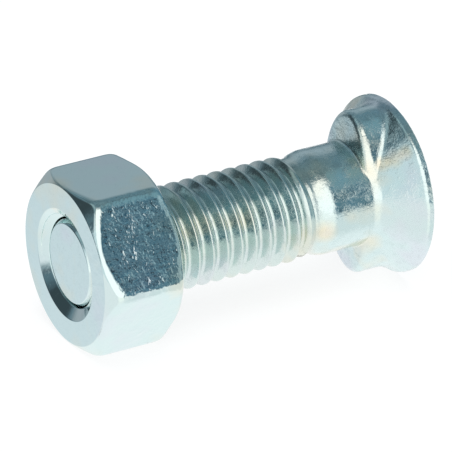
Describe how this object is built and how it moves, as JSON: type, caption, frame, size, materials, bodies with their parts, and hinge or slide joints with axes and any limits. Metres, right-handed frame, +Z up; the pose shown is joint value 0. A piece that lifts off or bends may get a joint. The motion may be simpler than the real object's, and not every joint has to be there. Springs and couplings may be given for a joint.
{
  "type": "plow bolt with hex nut",
  "caption": "Countersunk flat-head bolt with an oval neck that keys into a punched plate, and a hex nut screwed on to its threaded end to clamp the plate.",
  "frame": {"origin": "centre of the part's footprint, on the surface that it lies on", "axes": "+X along the part from the nut towards the head, +Z up; the bolt's own axis rises towards the head by 1.14 degrees, because the part lies on one flat of the nut and on the rim of the head"},
  "size_m": [0.0346, 0.0182, 0.0171],
  "materials": {
    "zinc_bolt": "forged and thread-rolled steel with bright blue-clear zinc plating",
    "zinc_nut": "cold-formed steel with bright blue-clear zinc plating"
  },
  "bodies": {
    "bolt": {"bolt": "zinc_bolt"},
    "nut": {"hex_nut": "zinc_nut"}
  },
  "joints": [
    {"name": "nut_turn", "type": "hinge", "parent": "bolt", "child": "nut", "pos_m": [-0.01307, 0, 0.00794], "axis": [0.9998, 0, 0.0199], "continuous": true}
  ]
}
